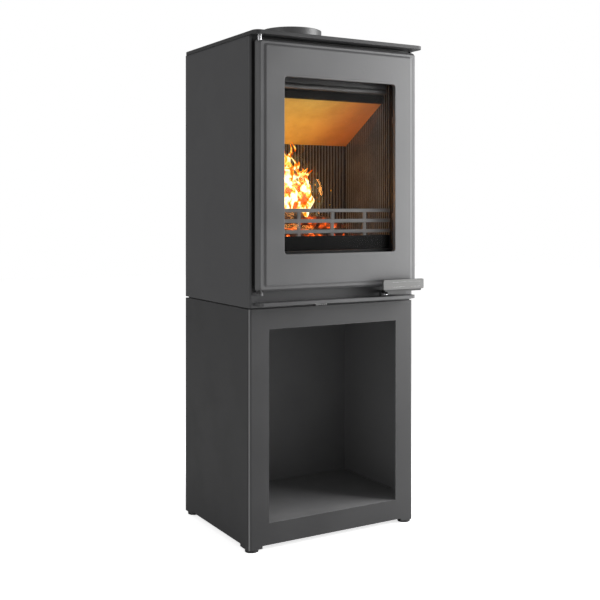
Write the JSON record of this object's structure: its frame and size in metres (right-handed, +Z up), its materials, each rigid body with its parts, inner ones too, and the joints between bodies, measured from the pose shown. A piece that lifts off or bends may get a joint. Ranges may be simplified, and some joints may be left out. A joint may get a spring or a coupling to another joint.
{
  "type": "wood burning stove",
  "caption": "Free-standing wood burning stove: windowed cast iron door over an open log store, with a top flue collar.",
  "frame": {"origin": "centre of the overall box on the floor under the feet", "axes": "+Z up, -Y out of the door (front), +X to the right seen from the front"},
  "size_m": [0.456, 0.417, 1.2024],
  "materials": {
    "casing_paint": "matt heat-proof paint, dark grey",
    "door_cast_iron": "matt heat-proof paint on cast iron",
    "frame_black": "matt black paint",
    "collar_paint": "matt dark grey paint",
    "firebox_steel": "heat-blackened steel",
    "grate_iron": "raw cast iron",
    "fence_grey": "matt grey cast iron",
    "lining": "smoked firebrick with vertical ribs",
    "baffle_board": "smooth vermiculite board",
    "foot_black": "black foot on a steel stud",
    "zinc_steel": "zinc-plated steel",
    "clip_steel": "dull sheet steel",
    "spigot_steel": "black paint",
    "slider_steel": "dull steel",
    "fire_glass": "clear fire-resistant glass ceramic",
    "gasket": "flat woven glass-fibre tape",
    "rope": "braided glass-fibre rope",
    "lever_black": "matt black",
    "brushed_steel": "brushed stainless steel"
  },
  "bodies": {
    "stove": {"air_box": "frame_black", "air_spigot": "spigot_steel", "air_wash_bar": "firebox_steel", "ash_lip": "casing_paint", "ash_pan": "firebox_steel", "baffle": "baffle_board", "baffle_rail": "firebox_steel", "base_back": "casing_paint", "base_floor": "frame_black", "base_shell": "casing_paint", "base_top": "casing_paint", "casing_floor": "frame_black", "casing_shell": "casing_paint", "collar_bolts": "zinc_steel", "firebox_shell": "firebox_steel", "flue_collar": "collar_paint", "foot_brackets": "frame_black", "front_frame": "frame_black", "grate": "grate_iron", "hearth": "lining", "hinge_lug": "casing_paint", "hinge_pin_lower": "zinc_steel", "hinge_pin_upper": "zinc_steel", "hinge_washer": "zinc_steel", "keeper_pin": "zinc_steel", "lining_left": "lining", "lining_rear": "lining", "lining_right": "lining", "log_fence": "fence_grey", "pan_rails": "frame_black", "rear_panel": "casing_paint", "rear_screws": "zinc_steel", "retainer": "firebox_steel", "smoke_deflector": "firebox_steel", "top_plate": "casing_paint"},
    "door": {"door_frame": "door_cast_iron", "door_glass": "fire_glass", "glass_gasket": "gasket", "glass_clips": "clip_steel", "clip_screws": "zinc_steel", "rope_seal": "rope", "pivot_pin": "zinc_steel"},
    "handle": {"handle_lever": "lever_black", "handle_plate": "brushed_steel", "handle_screws": "zinc_steel"},
    "air_control": {"air_slider": "slider_steel"},
    "foot_front_left": {"foot_front_left": "foot_black"},
    "foot_front_right": {"foot_front_right": "foot_black"},
    "foot_rear_left": {"foot_rear_left": "foot_black"},
    "foot_rear_right": {"foot_rear_right": "foot_black"}
  },
  "joints": [
    {"name": "door_hinge", "type": "hinge", "parent": "stove", "child": "door", "pos_m": [-0.208, -0.173, 0.857], "axis": [0, 0, -1], "range_deg": [0, 110]},
    {"name": "handle_pivot", "type": "hinge", "parent": "door", "child": "handle", "pos_m": [0.128, -0.1735, 0.569], "axis": [0, 0, -1], "range_deg": [0, 25]},
    {"name": "air_slide", "type": "slide", "parent": "stove", "child": "air_control", "axis": [1, 0, 0], "range_m": [-0.02, 0.04]},
    {"name": "foot_front_left_turn", "type": "hinge", "parent": "stove", "child": "foot_front_left", "pos_m": [-0.209, -0.1375, 0.012], "axis": [0, 0, 1], "continuous": true},
    {"name": "foot_front_right_turn", "type": "hinge", "parent": "stove", "child": "foot_front_right", "pos_m": [0.209, -0.1375, 0.012], "axis": [0, 0, 1], "continuous": true},
    {"name": "foot_rear_left_turn", "type": "hinge", "parent": "stove", "child": "foot_rear_left", "pos_m": [-0.209, 0.1725, 0.012], "axis": [0, 0, 1], "continuous": true},
    {"name": "foot_rear_right_turn", "type": "hinge", "parent": "stove", "child": "foot_rear_right", "pos_m": [0.209, 0.1725, 0.012], "axis": [0, 0, 1], "continuous": true}
  ]
}
